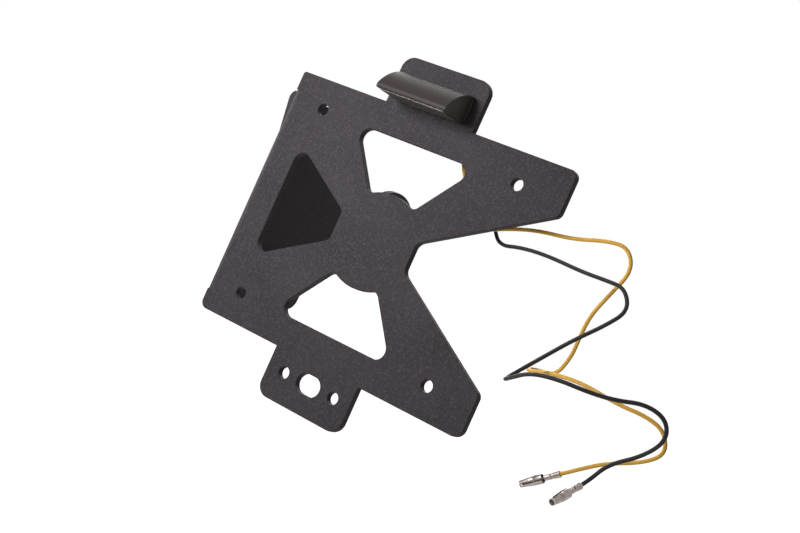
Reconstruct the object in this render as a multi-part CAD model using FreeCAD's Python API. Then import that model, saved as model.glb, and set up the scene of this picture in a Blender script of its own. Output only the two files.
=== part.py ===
import FreeCAD, Part
import math
import os

from FreeCAD import Vector

# Side licence plate holder: a folded sheet with a cut-out front and a flange, a bolted arm with
# an axle eye, a small plate lamp on the upper tab, and the lamp's two wires with bullet ends.
# Lengths are millimetres. While a piece is modelled, x is measured to the right of the plate's
# centre, y backwards from the plate's front face and z upwards from the plate's centre line.
# On export the origin moves to the axle eye, at the middle of the arm's outer face.

os.makedirs("parts", exist_ok=True)

# Folded plate
sheet = 4.0
plate_height = 130.0
plate_right = 83.6
right_top_corner_r = 3.8
right_bottom_corner_r = 4.8
left_top_corner_r = 1.5
left_bottom_corner_r = 4.0
plate_hole_spacing_x = 116.0
plate_hole_spacing_z = 100.0
plate_hole_d = 6.0

# Lamp tabs above and below
tab_width = 51.4
tab_height = 24.7
tab_corner_r = 6.5
tab_hole_rise = 10.0
lamp_hole_spacing = 30.8
lamp_hole_d = 6.0
wire_slot_length = 14.0
wire_slot_width = 10.0

# Notch on the right and windows round the hub
notch_floor_x = 22.6
notch_floor = 15.0
notch_mouth = 86.6
notch_floor_r = 5.0
notch_tip_r = 3.75
hub_r = 24.2
hub_corner_r = 4.0
window_corner_r = 5.0
side_window_far_x = 61.8
side_window_near_x = 22.9
side_window_far_half = 30.2
side_window_near_r = 4.0
side_window_angle = math.radians(30.0)
upright_window_edge_z = 50.0
upright_window_half_width = 36.2
upright_window_lean = 0.775

# Flange folded back along the left edge
flange_offset = 80.5
flange_height = 110.0
flange_depth = 56.0
flange_corner_r = 8.0
bend_inner_r = 2.0
flat_corner_inset = 2.2

# Arm with the axle eye
arm_thickness = 4.0
eye_setback = 138.0
eye_rise = 2.5
eye_r = 31.5
eye_bore_d = 25.0
eye_fillet_r = 8.0
neck_half = 24.0
neck_start = 95.0
arm_top_z = 57.6
arm_top_y = 3.4
arm_bottom_z = -53.2
arm_bottom_y = 27.9
arm_lug_y = 82.6
arm_lug_z = -44.0
arm_top_r = 4.5
arm_bottom_r = 6.0
arm_lug_r = 7.0
neck_r = 12.0

# Fasteners that hold the arm on the flange
arm_bolt_y = 31.0
arm_bolt_lean = 14.0
arm_bolt_spacing = 76.0
arm_bolt_d = 8.0
arm_bolt_hole_d = 8.4
arm_hex = 13.0
arm_head_height = 5.3
arm_nut_height = 7.0
arm_washer_d = 16.0
arm_washer_thickness = 1.6
thread_past_nut = 2.0

# Plate lamp
lamp_width = 40.0
lamp_reach = 21.5
lamp_under_rise = 2.0
lamp_front_lip = 2.1
lamp_crown_rise = 15.6
lamp_crown_y = -0.5
lamp_wall = 1.6
lamp_lip_r = 0.8
lamp_end_rim = 1.3
lamp_end_recess = 0.5
lens_thickness = 1.6
lens_proud = 0.5
lens_ledge = 1.0
lens_clearance = 0.1
lamp_pocket_height = 2.6
board_thickness = 1.2
led_count = 4
led_length = 3.5
led_width = 2.8
led_height = 1.0
led_pitch = 8.5

# Studs, washers and nuts that hold the lamp on its tab
stud_d = 5.0
stud_depth = 6.0
lamp_hex = 8.0
lamp_nut_height = 4.0
lamp_washer_d = 10.0
lamp_washer_thickness = 1.0
lamp_washer_hole_d = 5.3

# Grommet, wires and bullet ends
grommet_clearance = 0.1
grommet_lip = 2.0
grommet_lip_thickness = 1.5
grommet_collar = 2.0
grommet_collar_inset = 2.5
wire_d = 1.7
wire_pitch = 4.4
terminal_length = 19.0
terminal_wall = 0.4
terminal_slot = 0.9
insulation_crimp = 3.9
insulation_crimp_r = 1.65
crimp_clearance = 0.05
crimp_seam = 0.4
crimp_seam_depth = 0.7
strand_gap = 0.8
strand_rise = 0.35
strand_crimp = 2.7
strand_crimp_r = 1.35
terminal_neck = 0.9
barrel_r = 2.25
barrel_ring = 3.4
barrel_groove = 0.6
barrel_groove_r = 2.05
barrel_nose_r = 1.55
barrel_lip = 0.8
chamfer_angle = math.radians(30.0)

# Places that follow from the sizes above
edge_z = plate_height / 2
tab_z = edge_z + tab_height
tab_hole_z = edge_z + tab_hole_rise
flange_x = -flange_offset
flange_inner_x = flange_x + sheet
bend_outer_r = bend_inner_r + sheet
bend_start_x = flange_x + bend_outer_r
flange_top = flange_height / 2
arm_outer_x = flange_x - arm_thickness
eye = Vector(arm_outer_x, eye_setback, eye_rise)
lamp_bottom_z = edge_z + lamp_under_rise
grommet_end_y = sheet + grommet_lip_thickness + grommet_collar

# Routes of the two wires behind the plate and out through the notch, chosen by hand
yellow_route = [
    (wire_pitch / 2, grommet_end_y, tab_hole_z), (2.2, 16, 75), (5, 23.5, 69.5), (10, 24.5, 60),
    (18.2, 20.5, 49), (30, 14.5, 37.5), (48.5, 9, 26), (58.5, 9, 30.5), (71.5, 11, 35),
    (88, 14, 37.5), (102.5, 15, 42.5), (113, 16, 43.5), (118.5, 18, 34.5), (112, 21, 21),
    (106.5, 24, 9), (105, 27, -2), (103.5, 31, -11.5), (99, 34, -22), (92, 28, -23),
    (91, 19.5, -24), (97, 10, -24.5), (106, 4, -21.5), (124, 1, -19), (143, 2, -21),
    (155.5, 4, -20.5), (164.5, 6, -23), (168.5, 8.5, -31.5), (160.5, 10, -39), (145.5, 11, -46.2),
    (135.5, 11.5, -53.7), (126, 11, -61.4),
]
black_route = [
    (-wire_pitch / 2, grommet_end_y, tab_hole_z), (-2.2, 16, 75), (2, 25, 69), (11.5, 27, 61),
    (23.5, 25.5, 52), (36, 21, 42), (48.5, 15, 29.5), (56, 12.5, 22), (67.5, 11, 25), (82.5, 9, 26),
    (102, 5, 25), (115, 4, 25.5), (124, 4, 25.5), (130, 3, 17), (124, 1, 7.5), (114, -1, -4),
    (104.5, -2, -16.5), (99, -6, -25.5), (97.5, -14, -31.5), (104.5, -25, -29.5), (115, -32, -23.5),
    (128, -34, -21), (141.5, -32, -20.5), (152, -28, -19), (162, -23, -15.5), (171, -19, -17.5),
    (173.5, -15, -25.5), (166, -12, -35.5), (153.6, -9.5, -44.5), (148.8, -10.3, -54.7),
    (147.8, -18, -59),
]

# Side that each terminal's seam and slots face
yellow_open_side = Vector(0.5, -0.85, 0.1)
black_open_side = Vector(-0.3, -0.2, 0.9)


def rounded_face(corners):
    """Flat face from (point, radius) corners in order, each corner rounded by its radius."""
    ends = []
    edges = []
    for index, (point, radius) in enumerate(corners):
        back = (corners[index - 1][0] - point).normalize()
        ahead = (corners[(index + 1) % len(corners)][0] - point).normalize()
        half = back.getAngle(ahead) / 2
        setback = radius / math.tan(half)
        start = point + back * setback
        end = point + ahead * setback
        ends.append((start, end))
        if radius > 0:
            middle = point + (back + ahead).normalize() * (radius / math.sin(half) - radius)
            edges.append(Part.Arc(start, middle, end).toShape())
    for index, (start, end) in enumerate(ends):
        before = ends[index - 1][1]
        if before.distanceToPoint(start) > 1e-6:
            edges.append(Part.LineSegment(before, start).toShape())
    return Part.Face(Part.Wire(Part.__sortEdges__(edges)))


def front_prism(corners, front=0.0, depth=sheet):
    """Prism of an (x, z, radius) outline, extruded backwards from the plane y = front."""
    face = rounded_face([(Vector(x, front, z), radius) for x, z, radius in corners])
    return face.extrude(Vector(0, depth, 0))


def side_prism(corners, left, width):
    """Prism of a (y, z, radius) outline, extruded to the right from the plane x = left."""
    face = rounded_face([(Vector(left, y, z), radius) for y, z, radius in corners])
    return face.extrude(Vector(width, 0, 0))


def rod(diameter, start, axis, length):
    """Round rod from a start point along an axis."""
    return Part.makeCylinder(diameter / 2, length, start, axis)


def obround(length, width, centre_z, front, depth):
    """Prism with round ends, long along x, centred over x = 0."""
    half_length = length / 2
    half_width = width / 2
    straight = half_length - half_width
    top = centre_z + half_width
    bottom = centre_z - half_width
    edges = [
        Part.LineSegment(Vector(-straight, front, top), Vector(straight, front, top)),
        Part.Arc(Vector(straight, front, top), Vector(half_length, front, centre_z),
                 Vector(straight, front, bottom)),
        Part.LineSegment(Vector(straight, front, bottom), Vector(-straight, front, bottom)),
        Part.Arc(Vector(-straight, front, bottom), Vector(-half_length, front, centre_z),
                 Vector(-straight, front, top)),
    ]
    return Part.Face(Part.Wire([edge.toShape() for edge in edges])).extrude(Vector(0, depth, 0))


def edges_along(shape, axis, near):
    """Straight edges parallel to an axis whose middle projects to one of the near points."""
    found = []
    for edge in shape.Edges:
        if not isinstance(edge.Curve, Part.Line):
            continue
        along = edge.tangentAt(edge.FirstParameter)
        if abs(along.dot(axis)) < 0.999:
            continue
        for point in near:
            offset = edge.CenterOfMass - point
            if (offset - axis * offset.dot(axis)).Length < 0.2:
                found.append(edge)
    return found


def plate_blank():
    """Flat sheet with its tabs and notch, up to where the left fold starts."""
    corner_x = flange_x + flat_corner_inset
    half_tab = tab_width / 2
    mouth_half = notch_mouth / 2
    floor_half = notch_floor / 2
    ear_height = edge_z - flange_top
    return front_prism([
        (corner_x, edge_z, min(left_top_corner_r, ear_height)), (-half_tab, edge_z, 0),
        (-half_tab, tab_z, tab_corner_r), (half_tab, tab_z, tab_corner_r), (half_tab, edge_z, 0),
        (plate_right, edge_z, right_top_corner_r), (plate_right, mouth_half, notch_tip_r),
        (notch_floor_x, floor_half, notch_floor_r), (notch_floor_x, -floor_half, notch_floor_r),
        (plate_right, -mouth_half, notch_tip_r), (plate_right, -edge_z, right_bottom_corner_r),
        (half_tab, -edge_z, 0), (half_tab, -tab_z, tab_corner_r), (-half_tab, -tab_z, tab_corner_r),
        (-half_tab, -edge_z, 0), (corner_x, -edge_z, min(left_bottom_corner_r, ear_height)),
        (corner_x, -flange_top, 0), (bend_start_x, -flange_top, 0),
        (bend_start_x, flange_top, 0), (corner_x, flange_top, 0),
    ])


def side_window():
    """Cutter for the trapezoid window between the hub and the flange."""
    window_length = side_window_far_x - side_window_near_x
    near_half = side_window_far_half - window_length * math.tan(side_window_angle)
    return front_prism([
        (-side_window_far_x, side_window_far_half, window_corner_r),
        (-side_window_near_x, near_half, side_window_near_r),
        (-side_window_near_x, -near_half, side_window_near_r),
        (-side_window_far_x, -side_window_far_half, window_corner_r),
    ])


def upright_window():
    """Cutter for the window above the hub, with the hub's round edge as its short side."""
    foot_z = hub_r / 2
    foot_half = upright_window_half_width - (upright_window_edge_z - foot_z) * upright_window_lean
    wedge = front_prism([
        (-upright_window_half_width, upright_window_edge_z, window_corner_r),
        (upright_window_half_width, upright_window_edge_z, window_corner_r),
        (foot_half, foot_z, 0), (-foot_half, foot_z, 0),
    ])
    window = wedge.cut(rod(2 * hub_r, Vector(0, 0, 0), Vector(0, 1, 0), sheet)).Solids[0]
    # The slanted side x = shift + lean * z crosses the hub's circle at the root of a quadratic.
    shift = upright_window_half_width - upright_window_lean * upright_window_edge_z
    lean_sq = 1 + upright_window_lean ** 2
    cross = upright_window_lean * shift
    root = math.sqrt(cross ** 2 - lean_sq * (shift ** 2 - hub_r ** 2))
    cross_z = (root - cross) / lean_sq
    cross_x = shift + upright_window_lean * cross_z
    corners = [Vector(cross_x, 0, cross_z), Vector(-cross_x, 0, cross_z)]
    return window.makeFillet(hub_corner_r, edges_along(window, Vector(0, 1, 0), corners))


def mirrored_down(shape):
    """Copy of a shape below the plate's centre line."""
    return shape.mirror(Vector(0, 0, 0), Vector(0, 0, 1))


def arm_bolt_places(x):
    """Centres of the two bolts that join the arm and the flange, on the plane at x."""
    return [
        Vector(x, arm_bolt_y - side * arm_bolt_lean / 2, side * arm_bolt_spacing / 2)
        for side in (-1, 1)
    ]


def holder_plate():
    """Plate, fold and flange as one sheet, with all its cut-outs."""
    fold_centre = Vector(bend_start_x, bend_outer_r, -flange_top)
    ring = Part.makeCylinder(bend_outer_r, flange_height, fold_centre, Vector(0, 0, 1))
    ring = ring.cut(Part.makeCylinder(bend_inner_r, flange_height, fold_centre, Vector(0, 0, 1)))
    quarter = Part.makeBox(bend_outer_r, bend_outer_r, flange_height,
                           Vector(flange_x, 0, -flange_top))
    fold = ring.common(quarter)
    flange = side_prism([
        (bend_outer_r, flange_top, 0), (flange_depth, flange_top, flange_corner_r),
        (flange_depth, -flange_top, flange_corner_r), (bend_outer_r, -flange_top, 0),
    ], flange_x, sheet)
    upper = upright_window()
    slot = obround(wire_slot_length, wire_slot_width, tab_hole_z, 0, sheet)
    cuts = [side_window(), upper, mirrored_down(upper), slot, mirrored_down(slot)]
    for side in (-1, 1):
        for level in (-1, 1):
            hole = Vector(side * plate_hole_spacing_x / 2, 0, level * plate_hole_spacing_z / 2)
            cuts.append(rod(plate_hole_d, hole, Vector(0, 1, 0), sheet))
            hole = Vector(side * lamp_hole_spacing / 2, 0, level * tab_hole_z)
            cuts.append(rod(lamp_hole_d, hole, Vector(0, 1, 0), sheet))
    for hole in arm_bolt_places(flange_x):
        cuts.append(rod(arm_bolt_hole_d, hole, Vector(1, 0, 0), sheet))
    return plate_blank().fuse([fold, flange]).removeSplitter().cut(cuts).removeSplitter()


def mounting_arm():
    """Flat arm on the flange's outer face, drawn in to a neck before the round axle eye."""
    body = side_prism([
        (arm_top_y, arm_top_z, arm_top_r), (neck_start, eye_rise + neck_half, neck_r),
        (eye_setback, eye_rise + neck_half, 0), (eye_setback, eye_rise - neck_half, 0),
        (neck_start, eye_rise - neck_half, neck_r),
        (arm_lug_y, arm_lug_z, arm_bottom_r), (arm_lug_y, arm_bottom_z, arm_lug_r),
        (arm_bottom_y, arm_bottom_z, arm_bottom_r),
    ], arm_outer_x, arm_thickness)
    arm = body.fuse(rod(2 * eye_r, eye, Vector(1, 0, 0), arm_thickness)).removeSplitter()
    throat = eye_setback - math.sqrt(eye_r ** 2 - neck_half ** 2)
    throats = [Vector(arm_outer_x, throat, eye_rise + side * neck_half) for side in (-1, 1)]
    arm = arm.makeFillet(eye_fillet_r, edges_along(arm, Vector(1, 0, 0), throats))
    cuts = [rod(eye_bore_d, eye, Vector(1, 0, 0), arm_thickness)]
    for hole in arm_bolt_places(arm_outer_x):
        cuts.append(rod(arm_bolt_hole_d, hole, Vector(1, 0, 0), arm_thickness))
    return arm.cut(cuts)


def hexagon(across_flats, height, base, axis):
    """Hexagonal block from a base point along an axis, with its far corners chamfered."""
    across_corners = across_flats / math.cos(math.pi / 6)
    block = Part.Face(Part.makePolygon([
        Vector(math.cos(turn) * across_corners / 2, math.sin(turn) * across_corners / 2, 0)
        for turn in [math.pi / 3 * step for step in range(7)]
    ])).extrude(Vector(0, 0, height))
    overhang = (across_corners - across_flats) / 2
    cone_height = overhang * math.tan(chamfer_angle)
    body = Part.makeCylinder(across_corners / 2, height - cone_height)
    crown = Part.makeCone(across_corners / 2, across_flats / 2, cone_height,
                          Vector(0, 0, height - cone_height))
    block = block.common(body.fuse(crown).removeSplitter())
    block.Placement = FreeCAD.Placement(base, FreeCAD.Rotation(Vector(0, 0, 1), axis))
    return block


def washer(outer_d, hole_d, thickness, base, axis):
    """Flat washer from a base point along an axis."""
    return rod(outer_d, base, axis, thickness).cut(rod(hole_d, base, axis, thickness))


def arm_fasteners():
    """Bolts, washers and nuts that clamp the arm to the flange."""
    inward = Vector(1, 0, 0)
    seat_x = arm_outer_x - arm_washer_thickness
    nut_x = flange_inner_x + arm_washer_thickness
    bolts = []
    washers = []
    nuts = []
    for seat in arm_bolt_places(seat_x):
        shank = rod(arm_bolt_d, seat, inward, nut_x + arm_nut_height + thread_past_nut - seat_x)
        bolts.append(hexagon(arm_hex, arm_head_height, seat, -inward).fuse(shank).removeSplitter())
        washers.append(washer(arm_washer_d, arm_bolt_hole_d, arm_washer_thickness, seat, inward))
        inner_seat = seat + inward * (flange_inner_x - seat_x)
        washers.append(washer(arm_washer_d, arm_bolt_hole_d, arm_washer_thickness, inner_seat, inward))
        nut_seat = seat + inward * (nut_x - seat_x)
        nut = hexagon(arm_hex, arm_nut_height, nut_seat, inward)
        nuts.append(nut.cut(rod(arm_bolt_d, nut_seat, inward, arm_nut_height)))
    return Part.makeCompound(bolts), Part.makeCompound(washers), Part.makeCompound(nuts)


def stud_places():
    """Centres of the two lamp studs on the tab's front face."""
    return [Vector(side * lamp_hole_spacing / 2, 0, tab_hole_z) for side in (-1, 1)]


def lamp_shape():
    """Outer form of the lamp: flat below and behind, arched in front, with recessed ends."""
    half = lamp_width / 2
    crown_z = lamp_bottom_z + lamp_crown_rise - lamp_under_rise
    lip_z = lamp_bottom_z + lamp_front_lip
    drop = crown_z - lip_z
    run = lamp_reach + lamp_crown_y
    arch_r = (run ** 2 + drop ** 2) / (2 * drop)
    centre_z = crown_z - arch_r

    def arch_point(y):
        return Vector(-half, y, centre_z + math.sqrt(arch_r ** 2 - (y - lamp_crown_y) ** 2))

    front = Vector(-half, -lamp_reach, lamp_bottom_z)
    lip = Vector(-half, -lamp_reach, lip_z)
    back = Vector(-half, 0, lamp_bottom_z)
    arch = Part.Arc(lip, arch_point(lamp_crown_y - run / 2), arch_point(0))
    outline = [
        Part.LineSegment(back, front).toShape(), Part.LineSegment(front, lip).toShape(),
        arch.toShape(), Part.LineSegment(arch_point(0), back).toShape(),
    ]
    block = Part.Face(Part.Wire(outline)).extrude(Vector(lamp_width, 0, 0))
    lip_edges = edges_along(block, Vector(1, 0, 0), [front, lip])
    block = block.makeFillet(lamp_lip_r, lip_edges)
    recesses = []
    for face in block.Faces:
        outward = face.normalAt(0, 0)
        if abs(outward.x) > 0.999:
            floor = face.makeOffset2D(-lamp_end_rim)
            recesses.append(floor.extrude(outward * -lamp_end_recess))
    return block.cut(recesses)


def lamp_opening(inset, bottom, height):
    """Block inside the lamp's walls, drawn in by an inset on every side."""
    edge = lamp_wall + inset
    return Part.makeBox(lamp_width - 2 * edge, lamp_reach - 2 * edge, height,
                        Vector(-lamp_width / 2 + edge, -lamp_reach + edge, bottom))


def lamp_pieces():
    """Housing, lens, board and light-emitting diodes of the lamp."""
    lens_top = lamp_bottom_z + lens_thickness - lens_proud
    pocket_top = lens_top + lamp_pocket_height
    housing = lamp_shape().cut([
        lamp_opening(0, lamp_bottom_z, lens_top - lamp_bottom_z),
        lamp_opening(lens_ledge, lens_top, lamp_pocket_height),
    ])
    for place in stud_places():
        socket = place - Vector(0, stud_depth, 0)
        housing = housing.cut(rod(stud_d, socket, Vector(0, 1, 0), stud_depth))
    lens = lamp_opening(lens_clearance, lamp_bottom_z - lens_proud, lens_thickness)
    board_bottom = pocket_top - board_thickness
    board = lamp_opening(lens_ledge + lens_clearance, board_bottom, board_thickness)
    leds = []
    for index in range(led_count):
        middle = (index - (led_count - 1) / 2) * led_pitch
        corner = Vector(middle - led_length / 2, -(lamp_reach + led_width) / 2,
                        board_bottom - led_height)
        leds.append(Part.makeBox(led_length, led_width, led_height, corner))
    return housing, lens, board, Part.makeCompound(leds)


def lamp_fasteners():
    """Studs moulded into the lamp, with the washers and nuts behind the tab."""
    backward = Vector(0, 1, 0)
    nut_y = sheet + lamp_washer_thickness
    stud_end = nut_y + lamp_nut_height + thread_past_nut
    studs = []
    washers = []
    nuts = []
    for place in stud_places():
        socket = place - backward * stud_depth
        studs.append(rod(stud_d, socket, backward, stud_depth + stud_end))
        seat = place + backward * sheet
        washers.append(washer(lamp_washer_d, lamp_washer_hole_d, lamp_washer_thickness, seat, backward))
        nut_seat = place + backward * nut_y
        nut = hexagon(lamp_hex, lamp_nut_height, nut_seat, backward)
        nuts.append(nut.cut(rod(stud_d, nut_seat, backward, lamp_nut_height)))
    return Part.makeCompound(studs), Part.makeCompound(washers), Part.makeCompound(nuts)


def wire_grommet():
    """Rubber plug in the upper tab's slot, with a lip and a collar behind the sheet."""
    length = wire_slot_length - 2 * grommet_clearance
    width = wire_slot_width - 2 * grommet_clearance
    plug = obround(length, width, tab_hole_z, 0, sheet)
    lip = obround(wire_slot_length + 2 * grommet_lip, wire_slot_width + 2 * grommet_lip, tab_hole_z,
                  sheet, grommet_lip_thickness)
    collar = obround(length - 2 * grommet_collar_inset, width - 2 * grommet_collar_inset, tab_hole_z,
                     sheet + grommet_lip_thickness, grommet_collar)
    return plug.fuse([lip, collar]).removeSplitter()


def wire_tube(name, route):
    """Round wire along straight runs joined by arcs as large as the runs allow."""
    points = [Vector(*point) for point in route]
    edges = []
    radii = []
    last = points[0]
    for before, corner, after in zip(points, points[1:], points[2:]):
        back = before - corner
        ahead = after - corner
        reach = 0.45 * min(back.Length, ahead.Length)
        back.normalize()
        ahead.normalize()
        half = back.getAngle(ahead) / 2
        radius = reach * math.tan(half)
        middle = corner + (back + ahead).normalize() * (radius / math.sin(half) - radius)
        start = corner + back * reach
        end = corner + ahead * reach
        edges.append(Part.LineSegment(last, start).toShape())
        edges.append(Part.Arc(start, middle, end).toShape())
        radii.append(radius)
        last = end
    edges.append(Part.LineSegment(last, points[-1]).toShape())
    path = Part.Wire(edges)
    section = Part.Wire(Part.makeCircle(wire_d / 2, points[0], points[1] - points[0]))
    tube = path.makePipeShell([section], True, False)
    expected = math.pi * wire_d ** 2 / 4 * path.Length
    print(name, "length %.1f" % path.Length, "volume ratio %.4f" % (tube.Volume / expected))
    print(name, "bend radii", " ".join("%.1f" % radius for radius in radii))
    return tube


def terminal(route, open_side):
    """Rolled bullet terminal on a wire's end: two crimps, an open neck and a slotted hollow barrel."""
    gap_z = insulation_crimp
    strand_z = gap_z + strand_gap
    neck_z = strand_z + strand_crimp
    barrel_z = neck_z + terminal_neck
    groove_z = barrel_z + barrel_ring
    nose_z = groove_z + barrel_groove
    shell = [
        (barrel_r, barrel_z), (barrel_r, groove_z), (barrel_groove_r, (groove_z + nose_z) / 2),
        (barrel_r, nose_z), (barrel_nose_r, terminal_length),
    ]
    outer = [(insulation_crimp_r, 0), (strand_crimp_r, gap_z), (strand_crimp_r, neck_z)] + shell
    inner = [(strand_crimp_r - terminal_wall, neck_z)]
    inner += [(radius - terminal_wall, height) for radius, height in shell]

    def turned(profile):
        points = [(0, profile[0][1])] + profile + [(0, profile[-1][1]), (0, profile[0][1])]
        face = Part.Face(Part.makePolygon([Vector(radius, 0, height) for radius, height in points]))
        return face.revolve(Vector(0, 0, 0), Vector(0, 0, 1), 360)

    def opening(width, floor, low, high):
        return Part.makeBox(barrel_r, width, high - low, Vector(floor, -width / 2, low))

    solid = turned(outer).cut([
        turned(inner),
        rod(wire_d + 2 * crimp_clearance, Vector(0, 0, 0), Vector(0, 0, 1), insulation_crimp),
        opening(crimp_seam, 0, 0, gap_z),
        opening(2 * barrel_r, strand_rise, gap_z, strand_z),
        opening(crimp_seam, strand_crimp_r - crimp_seam_depth, strand_z, neck_z),
        opening(2 * barrel_r, 0, neck_z, barrel_z),
        opening(terminal_slot, 0, barrel_z, groove_z),
        opening(terminal_slot, 0, nose_z, terminal_length - barrel_lip),
    ])
    end = Vector(*route[-1])
    axis = (end - Vector(*route[-2])).normalize()
    across = axis.cross(open_side).normalize()
    turn = FreeCAD.Rotation(across.cross(axis), across, axis, "ZXY")
    solid.Placement = FreeCAD.Placement(end - axis * insulation_crimp, turn)
    return solid


def export(node, shape):
    """Write one piece with the origin at the axle eye."""
    shape.translated(-eye).exportStep("parts/%s.step" % node)


arm_bolts, arm_washers, arm_nuts = arm_fasteners()
lamp_housing, lamp_lens, lamp_board, lamp_leds = lamp_pieces()
lamp_studs, lamp_washers, lamp_nuts = lamp_fasteners()

export("holder_plate", holder_plate())
export("mounting_arm", mounting_arm())
export("arm_bolts", arm_bolts)
export("arm_washers", arm_washers)
export("arm_nuts", arm_nuts)
export("lamp_housing", lamp_housing)
export("lamp_lens", lamp_lens)
export("lamp_board", lamp_board)
export("lamp_leds", lamp_leds)
export("lamp_studs", lamp_studs)
export("lamp_washers", lamp_washers)
export("lamp_nuts", lamp_nuts)
export("wire_grommet", wire_grommet())
export("yellow_wire", wire_tube("yellow_wire", yellow_route))
export("black_wire", wire_tube("black_wire", black_route))
export("yellow_connector", terminal(yellow_route, yellow_open_side))
export("black_connector", terminal(black_route, black_open_side))
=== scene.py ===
import math

import bmesh
import bpy
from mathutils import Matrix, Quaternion, Vector


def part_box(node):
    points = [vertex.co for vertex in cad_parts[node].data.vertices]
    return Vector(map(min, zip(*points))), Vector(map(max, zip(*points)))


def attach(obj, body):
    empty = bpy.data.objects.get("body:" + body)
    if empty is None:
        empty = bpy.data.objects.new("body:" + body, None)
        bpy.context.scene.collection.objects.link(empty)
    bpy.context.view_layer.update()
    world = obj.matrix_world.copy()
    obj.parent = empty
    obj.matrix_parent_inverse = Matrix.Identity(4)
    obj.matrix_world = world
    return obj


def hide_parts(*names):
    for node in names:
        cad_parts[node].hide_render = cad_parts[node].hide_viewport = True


# Side licence plate holder, dressed for the photograph's view: coated sheet and arm, satin lamp,
# plated fasteners, and two insulated leads with crimped terminals. Lengths are metres.

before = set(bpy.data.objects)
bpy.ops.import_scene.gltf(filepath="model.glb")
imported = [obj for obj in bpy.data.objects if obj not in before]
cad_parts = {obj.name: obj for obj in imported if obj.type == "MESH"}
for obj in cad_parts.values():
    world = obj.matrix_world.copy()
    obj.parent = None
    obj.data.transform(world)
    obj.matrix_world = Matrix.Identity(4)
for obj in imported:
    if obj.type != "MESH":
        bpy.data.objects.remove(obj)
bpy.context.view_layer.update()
plate_low, plate_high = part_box("holder_plate")
plate_middle = (plate_low + plate_high) / 2

# Camera
camera_place = Vector((0.41061, -0.66046, -0.0076))
camera_aim = Vector((0.10413, -0.138, -0.00804))
camera_roll = math.radians(24.15)
camera_lens = 58.31
sensor_width = 36.0

# Edges and meshes
merge_distance = 1e-6
flat_angle = math.radians(0.6)
sharp_angle = math.radians(40.0)
sheet_edge_r = 0.0004
lamp_edge_r = 0.0003
fastener_edge_r = 0.0002
rubber_edge_r = 0.0006
terminal_edge_r = 0.00006
glass_edge_r = 0.0002
edge_steps = 3

# Leads
lead_radius = 0.00093
lead_curve_order = 3
lead_route_steps = 12
lead_round_steps = 5
yellow_route = [
    (0.0867, -0.1305, 0.0725), (0.0867, -0.122, 0.0725), (0.0895, -0.1145, 0.067),
    (0.0945, -0.1135, 0.0575), (0.1027, -0.1175, 0.0465), (0.1145, -0.1235, 0.035),
    (0.133, -0.129, 0.0235), (0.143, -0.129, 0.028), (0.156, -0.127, 0.0325),
    (0.1725, -0.124, 0.035), (0.187, -0.123, 0.04), (0.1975, -0.122, 0.041), (0.203, -0.12, 0.032),
    (0.1965, -0.117, 0.0185), (0.191, -0.114, 0.0065), (0.1895, -0.111, -0.0045),
    (0.188, -0.107, -0.014), (0.1835, -0.104, -0.0245), (0.1765, -0.11, -0.0255),
    (0.1755, -0.1185, -0.0265), (0.1815, -0.128, -0.027), (0.1905, -0.134, -0.024),
    (0.2085, -0.137, -0.0215), (0.2275, -0.136, -0.0235), (0.24, -0.134, -0.023),
    (0.249, -0.132, -0.0255), (0.253, -0.1295, -0.034), (0.245, -0.128, -0.0415),
    (0.23, -0.127, -0.0487), (0.22, -0.1265, -0.0562), (0.2105, -0.127, -0.0639),
]
black_route = [
    (0.0823, -0.1305, 0.0725), (0.0823, -0.122, 0.0725), (0.0865, -0.113, 0.0665),
    (0.096, -0.111, 0.0585), (0.108, -0.1125, 0.0495), (0.1205, -0.117, 0.0395),
    (0.133, -0.123, 0.027), (0.1405, -0.1255, 0.0195), (0.152, -0.127, 0.0225),
    (0.167, -0.129, 0.0235), (0.1865, -0.133, 0.0225), (0.1995, -0.134, 0.023),
    (0.2085, -0.134, 0.023), (0.2145, -0.135, 0.0145), (0.2085, -0.137, 0.005),
    (0.1985, -0.139, -0.0065), (0.189, -0.14, -0.019), (0.1835, -0.144, -0.028),
    (0.182, -0.152, -0.034), (0.189, -0.163, -0.032), (0.1995, -0.17, -0.026),
    (0.2125, -0.172, -0.0235), (0.226, -0.17, -0.023), (0.2365, -0.166, -0.0215),
    (0.2465, -0.161, -0.018), (0.2555, -0.157, -0.02), (0.258, -0.153, -0.028),
    (0.2505, -0.15, -0.038), (0.2381, -0.1475, -0.047), (0.2333, -0.1483, -0.0572),
    (0.2323, -0.156, -0.0615),
]

# Lights, placed from the middle of the plate's box
ambient_level = 0.10
key_offset = Vector((-0.08, -0.3, 0.09))
key_size = 0.11
key_power = 1.0
back_offset = Vector((-0.35, 0.7, 0.45))
back_size = 0.8
back_power = 9.0
side_offset = Vector((-0.5, -0.03, 0.06))
side_size = 0.2
side_power = 1.2

# Floor
floor_height = -0.30
floor_span = 16.0
floor_tone = 0.82
floor_roughness = 0.9
floor_glow = 0.62
floor_fade_start = 0.35
floor_fade_end = 0.9

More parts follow.
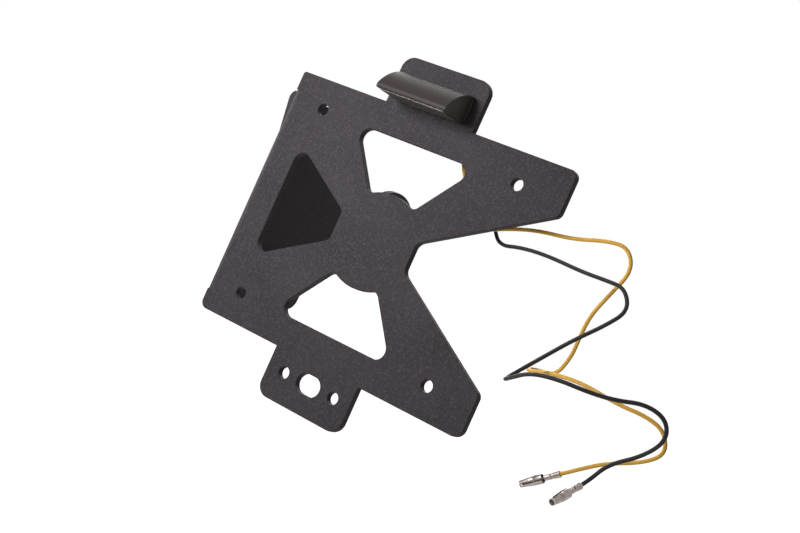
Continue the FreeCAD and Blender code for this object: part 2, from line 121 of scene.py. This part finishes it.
# Colours, the darker shade of each finish first
coat_dark = (0.034, 0.0295, 0.0325, 1.0)
coat_light = (0.059, 0.0515, 0.057, 1.0)
coat_fleck = (0.08, 0.0715, 0.078, 1.0)
plastic_dark = (0.021, 0.0155, 0.014, 1.0)
plastic_light = (0.027, 0.0212, 0.0195, 1.0)
zinc_dark = (0.46, 0.46, 0.47, 1.0)
zinc_light = (0.64, 0.64, 0.65, 1.0)
tin_dark = (0.2, 0.17, 0.158, 1.0)
tin_light = (0.38, 0.335, 0.312, 1.0)
yellow_dark = (0.71, 0.39, 0.054, 1.0)
yellow_light = (0.81, 0.475, 0.08, 1.0)
black_dark = (0.012, 0.0098, 0.0092, 1.0)
black_light = (0.019, 0.016, 0.0155, 1.0)
rubber_dark = (0.014, 0.014, 0.014, 1.0)
rubber_light = (0.026, 0.025, 0.025, 1.0)
window_dark = (0.03, 0.024, 0.021, 1.0)
# Lighter lens shade: painted highlight streaks on the smoked window
window_highlight_streak = (0.2, 0.172, 0.155, 1.0)
laminate_dark = (0.03, 0.026, 0.021, 1.0)
laminate_light = (0.045, 0.039, 0.031, 1.0)
diode_dark = (0.72, 0.66, 0.34, 1.0)
diode_light = (0.82, 0.76, 0.42, 1.0)

# Fold of the plate, whose ends keep their crisp corners
fold_reach = 0.0062
fold_end_height = 0.055
fold_end_margin = 0.0006


class Socket:
    """An output socket of a node tree; arithmetic on it adds Math nodes to that tree."""

    def __init__(self, tree, socket=None):
        self.tree = tree
        self.socket = socket

    def add(self, kind, settings=None, sockets=None, output=0):
        """Add a node: its settings first, then the values or links of its sockets."""
        node = self.tree.nodes.new(kind)
        for name, value in (settings or {}).items():
            setattr(node, name, value)
        for name, value in (sockets or {}).items():
            if isinstance(value, Socket):
                self.tree.links.new(value.socket, node.inputs[name])
            else:
                node.inputs[name].default_value = value
        return Socket(self.tree, node.outputs[output] if node.outputs else None)

    def math(self, operation, first, second):
        """Math node on two values, numbers or sockets."""
        return self.add("ShaderNodeMath", {"operation": operation}, {0: first, 1: second})

    def __add__(self, other):
        return self.math("ADD", self, other)

    def __radd__(self, other):
        return self.math("ADD", other, self)

    def __mul__(self, other):
        return self.math("MULTIPLY", self, other)

    def __rmul__(self, other):
        return self.math("MULTIPLY", other, self)

    def __or__(self, other):
        """The larger of two values, so that either of two masks counts."""
        return self.math("MAXIMUM", self, other)

    def blend(self, first, second):
        """Colour that goes from the first to the second as this value goes from 0 to 1."""
        # In its colour mode a Mix node takes its colours at 6 and 7 and gives one at 2.
        sockets = {0: self, 6: first, 7: second}
        return self.add("ShaderNodeMix", {"data_type": "RGBA"}, sockets, output=2)

    def noise(self, scale, detail=2.0, roughness=0.5):
        """Noise of about one cycle in 1 / scale metres, with this socket as its place."""
        sockets = {"Vector": self, "Scale": scale, "Detail": detail, "Roughness": roughness}
        return self.add("ShaderNodeTexNoise", None, sockets)

    def band(self, low, high):
        """This value spread so that low becomes 0 and high becomes 1, and held there."""
        sockets = {"Value": self, "From Min": low, "From Max": high}
        return self.add("ShaderNodeMapRange", {"clamp": True}, sockets)

    def relief(self, distance, strength=1.0):
        """Surface normal roughened by this value as a height, in metres."""
        sockets = {"Height": self, "Distance": distance, "Strength": strength}
        return self.add("ShaderNodeBump", None, sockets)


def grey(level):
    """Opaque neutral colour."""
    return (level, level, level, 1.0)


def blank_material(name):
    """New material with no nodes, and the socket that its nodes are added from."""
    material = bpy.data.materials.new(name)
    material.use_nodes = True
    material.node_tree.nodes.clear()
    return material, Socket(material.node_tree)


def object_place(start):
    """Place on the piece, in metres, as the meshes hold it."""
    return start.add("ShaderNodeTexCoord", output="Object")


def surface(start, sockets):
    """Principled surface with these sockets, as the material's output."""
    shader = start.add("ShaderNodeBsdfPrincipled", None, sockets)
    start.add("ShaderNodeOutputMaterial", None, {"Surface": shader})


def powder_coat():
    """Fine textured black coat: faint pale grains on a charcoal ground."""
    material, start = blank_material("powder_coat")
    place = object_place(start)
    cloud = place.noise(scale=38.0, detail=3.0)
    grain = place.noise(scale=1500.0, roughness=0.7)
    fleck = place.noise(scale=1250.0, roughness=0.6).band(0.5, 0.72)
    ground = (cloud * 0.3 + grain * 0.7).band(0.36, 0.64)
    surface(start, {
        "Base Color": fleck.blend(ground.blend(coat_dark, coat_light), coat_fleck),
        "Roughness": 0.6 + grain * 0.2,
        "Normal": (grain * 0.7 + fleck * 0.3).relief(distance=0.00012, strength=0.6),
        "Specular IOR Level": 0.07,
    })
    return material


def satin_plastic():
    """Moulded brown-black lamp plastic with a soft sheen."""
    material, start = blank_material("lamp_plastic")
    place = object_place(start)
    cloud = place.noise(scale=70.0)
    grain = place.noise(scale=2600.0)
    surface(start, {
        "Base Color": cloud.blend(plastic_dark, plastic_light),
        "Roughness": 0.5 + grain * 0.14,
        "Normal": grain.relief(distance=0.00003, strength=0.35),
        "Specular IOR Level": 0.26,
    })
    return material


def plated_metal(name, dark, light, roughness):
    """Plated metal, a little cloudy, with fine drawn marks."""
    material, start = blank_material(name)
    place = object_place(start)
    cloud = place.noise(scale=420.0, detail=3.0, roughness=0.6)
    marks = place.noise(scale=3200.0)
    surface(start, {
        "Base Color": cloud.band(0.3, 0.7).blend(dark, light),
        "Metallic": 1.0,
        "Roughness": roughness + cloud * 0.12 + marks * 0.08,
        "Normal": marks.relief(distance=0.00002, strength=0.35),
    })
    return material


def insulation(name, dark, light):
    """Extruded lead insulation, smooth with faint scuffs."""
    material, start = blank_material(name)
    place = object_place(start)
    cloud = place.noise(scale=160.0)
    scuff = place.noise(scale=1300.0, detail=3.0, roughness=0.6)
    surface(start, {
        "Base Color": (cloud * 0.6 + scuff * 0.4).band(0.3, 0.7).blend(dark, light),
        "Roughness": 0.42 + scuff * 0.2,
        "Normal": scuff.relief(distance=0.00002, strength=0.3),
        "Specular IOR Level": 0.2,
    })
    return material


def dull_rubber():
    """Matt moulded rubber."""
    material, start = blank_material("black_rubber")
    place = object_place(start)
    grain = place.noise(scale=1800.0, detail=3.0, roughness=0.6)
    surface(start, {
        "Base Color": grain.blend(rubber_dark, rubber_light),
        "Roughness": 0.62 + grain * 0.2,
        "Normal": grain.relief(distance=0.00006, strength=0.6),
    })
    return material


def clear_window():
    """Clear moulded lamp window, smoked, with painted highlight streaks drawn out along its length.
    """
    material, start = blank_material("clear_lens")
    along_lamp = {"Vector": object_place(start), "Scale": (0.06, 1.0, 1.0)}
    highlight_streak = start.add("ShaderNodeMapping", None, along_lamp).noise(scale=650.0, roughness=0.6)
    surface(start, {
        # The lighter streaks in the base colour are painted highlights; the same streaks vary the
        # roughness
        "Base Color": highlight_streak.band(0.35, 0.7).blend(window_dark, window_highlight_streak),
        "Roughness": 0.26 + highlight_streak * 0.12,
        "Transmission Weight": 0.25,
        "IOR": 1.49,
    })
    return material


def dark_laminate():
    """Circuit board under a dark lacquer."""
    material, start = blank_material("board_laminate")
    place = object_place(start)
    weave = place.noise(scale=900.0)
    surface(start, {
        "Base Color": weave.blend(laminate_dark, laminate_light),
        "Roughness": 0.42 + weave * 0.15,
    })
    return material


def diode_body():
    """Diode case under its pale yellow phosphor."""
    material, start = blank_material("led_body")
    place = object_place(start)
    cloud = place.noise(scale=800.0)
    surface(start, {
        "Base Color": cloud.blend(diode_dark, diode_light),
        "Roughness": 0.3 + cloud * 0.1,
    })
    return material


def pick(piece):
    """Make a piece the only selected object, and the active one."""
    bpy.ops.object.select_all(action="DESELECT")
    piece.select_set(True)
    bpy.context.view_layer.objects.active = piece


def copied_node(node, name):
    """New piece with its own copy of a CAD node's mesh, merged and freed of needless edges."""
    piece = bpy.data.objects.new(name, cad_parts[node].data.copy())
    bpy.context.scene.collection.objects.link(piece)
    piece.data.materials.clear()
    pick(piece)
    bpy.ops.mesh.customdata_custom_splitnormals_clear()
    bpy.ops.object.mode_set(mode="EDIT")
    bpy.ops.mesh.select_all(action="SELECT")
    bpy.ops.mesh.remove_doubles(threshold=merge_distance)
    bpy.ops.mesh.dissolve_limited(angle_limit=flat_angle)
    bpy.ops.object.mode_set(mode="OBJECT")
    return piece


def fold_end(edge):
    """True for an edge of the plate where an ear stands over the end of the fold."""
    middle = (edge.verts[0].co + edge.verts[1].co) / 2
    rise = abs(middle.z - plate_middle.z)
    return middle.x < plate_low.x + fold_reach and abs(rise - fold_end_height) < fold_end_margin


def round_edges(piece, radius, spared=None):
    """Round a piece's sharp edges, with its flat faces left flat and the spared edges crisp."""
    pick(piece)
    bpy.ops.object.shade_smooth()
    bpy.ops.object.mode_set(mode="EDIT")
    bpy.ops.mesh.select_mode(type="EDGE")
    bpy.ops.mesh.select_all(action="DESELECT")
    shape = bmesh.from_edit_mesh(piece.data)
    for edge in shape.edges:
        if edge.is_manifold and edge.calc_face_angle() > sharp_angle:
            crisp = spared is not None and spared(edge)
            edge.smooth = not crisp
            edge.select_set(not crisp)
    bmesh.update_edit_mesh(piece.data)
    bpy.ops.mesh.bevel(offset=radius, segments=edge_steps, affect="EDGES", clamp_overlap=False,
                       harden_normals=True)
    bpy.ops.object.mode_set(mode="OBJECT")


def finish_piece(piece, material, slot, *nodes):
    """Give a piece its finish and its body, in place of its CAD nodes."""
    piece.data.materials.append(material)
    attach(piece, "root")
    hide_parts(*nodes)


def dressed_node(node, name, radius, material, slot, spared=None):
    """Piece with a CAD node's form and rounded edges, in its finish."""
    piece = copied_node(node, name)
    round_edges(piece, radius, spared)
    finish_piece(piece, material, slot, node)
    return piece


def lead(name, route):
    """Round insulated lead along one smooth curve."""
    curve = bpy.data.curves.new(name, "CURVE")
    curve.dimensions = "3D"
    curve.resolution_u = lead_route_steps
    curve.bevel_depth = lead_radius
    curve.bevel_resolution = lead_round_steps
    curve.use_fill_caps = True
    line = curve.splines.new("NURBS")
    line.points.add(len(route) - 1)
    for point, place in zip(line.points, route):
        point.co = (*place, 1.0)
    line.order_u = lead_curve_order
    line.use_endpoint_u = True
    piece = bpy.data.objects.new(name, curve)
    bpy.context.scene.collection.objects.link(piece)
    return piece


def ray_seen(start):
    """1 for what the camera, a mirror or clear plastic sees, and 0 for the light that falls."""
    kinds = [
        start.add("ShaderNodeLightPath", output=name)
        for name in ("Is Camera Ray", "Is Glossy Ray", "Is Transmission Ray")
    ]
    return kinds[0] | kinds[1] | kinds[2]


def studio_world():
    """Soft even light that shows as plain white."""
    world = bpy.data.worlds.new("studio_white")
    world.use_nodes = True
    world.node_tree.nodes.clear()
    start = Socket(world.node_tree)
    level = ray_seen(start) * (1.0 - ambient_level) + ambient_level
    light = start.add("ShaderNodeBackground", None, {"Color": grey(1.0), "Strength": level})
    start.add("ShaderNodeOutputWorld", None, {"Surface": light})
    bpy.context.scene.world = world


def studio_floor():
    """Pale floor that runs out to white and keeps the object's shadow."""
    bpy.ops.object.select_all(action="DESELECT")
    bpy.ops.mesh.primitive_plane_add(size=floor_span, location=(0, 0, floor_height))
    floor = bpy.context.active_object
    floor.name = "studio_floor"
    material, start = blank_material("floor_white")
    place = object_place(start)
    distance = start.add("ShaderNodeVectorMath", {"operation": "LENGTH"}, {0: place}, output="Value")
    fade = distance.band(floor_fade_start, floor_fade_end)
    lift = ray_seen(start) * (floor_glow + fade * (1.0 - floor_glow))
    surface(start, {
        "Base Color": grey(floor_tone),
        "Roughness": floor_roughness,
        "Emission Color": lift.blend(grey(0.0), grey(1.0)),
        "Emission Strength": 1.0,
    })
    floor.data.materials.append(material)


def area_light(name, offset, size, power):
    """Soft square light that faces the coated plate."""
    bpy.ops.object.light_add(type="AREA", location=plate_middle + offset)
    light = bpy.context.active_object
    light.name = name
    light.data.shape = "SQUARE"
    light.data.size = size
    light.data.energy = power
    light.rotation_euler = (-offset).to_track_quat("-Z", "Y").to_euler()
    light.visible_camera = False


def photo_camera():
    """Camera at the photograph's place, with its right side raised."""
    bpy.ops.object.camera_add(location=camera_place)
    camera = bpy.context.active_object
    camera.data.sensor_width = sensor_width
    camera.data.lens = camera_lens
    camera.rotation_mode = "QUATERNION"
    look = (camera_aim - camera_place).to_track_quat("-Z", "Y")
    camera.rotation_quaternion = look @ Quaternion((0, 0, 1), camera_roll)
    bpy.context.scene.camera = camera


# Finishes
coat = powder_coat()
plastic = satin_plastic()
zinc = plated_metal("zinc_steel", zinc_dark, zinc_light, roughness=0.24)
tin = plated_metal("tinned_brass", tin_dark, tin_light, roughness=0.22)
yellow = insulation("yellow_insulation", yellow_dark, yellow_light)
black = insulation("black_insulation", black_dark, black_light)
rubber = dull_rubber()
window = clear_window()
laminate = dark_laminate()
diode = diode_body()

# Sheet, arm and lamp
dressed_node("holder_plate", "coated_plate", sheet_edge_r, coat, "powder_coat", fold_end)
dressed_node("mounting_arm", "coated_arm", sheet_edge_r, coat, "powder_coat")
dressed_node("lamp_housing", "lamp_shell", lamp_edge_r, plastic, "lamp_plastic")
dressed_node("lamp_lens", "lamp_window", glass_edge_r, window, "clear_lens")
dressed_node("lamp_board", "lamp_circuit_board", glass_edge_r, laminate, "board_laminate")
dressed_node("lamp_leds", "lamp_diodes", glass_edge_r, diode, "led_body")
dressed_node("wire_grommet", "rubber_grommet", rubber_edge_r, rubber, "black_rubber")

# Fasteners
for node in ("arm_bolts", "arm_washers", "arm_nuts", "lamp_studs", "lamp_washers", "lamp_nuts"):
    dressed_node(node, "plated_" + node, fastener_edge_r, zinc, "zinc_steel")

# Leads and terminals
yellow_terminal = dressed_node(
    "yellow_connector", "yellow_terminal", terminal_edge_r, tin, "tinned_brass"
)
black_terminal = dressed_node(
    "black_connector", "black_terminal", terminal_edge_r, tin, "tinned_brass"
)
yellow_lead = lead("yellow_lead", yellow_route)
finish_piece(yellow_lead, yellow, "yellow_insulation", "yellow_wire")
black_lead = lead("black_lead", black_route)
finish_piece(black_lead, black, "black_insulation", "black_wire")

# Studio
studio_world()
studio_floor()
area_light("key_light", key_offset, key_size, key_power)
area_light("back_light", back_offset, back_size, back_power)
area_light("side_light", side_offset, side_size, side_power)
photo_camera()
bpy.context.scene.view_settings.view_transform = "Standard"
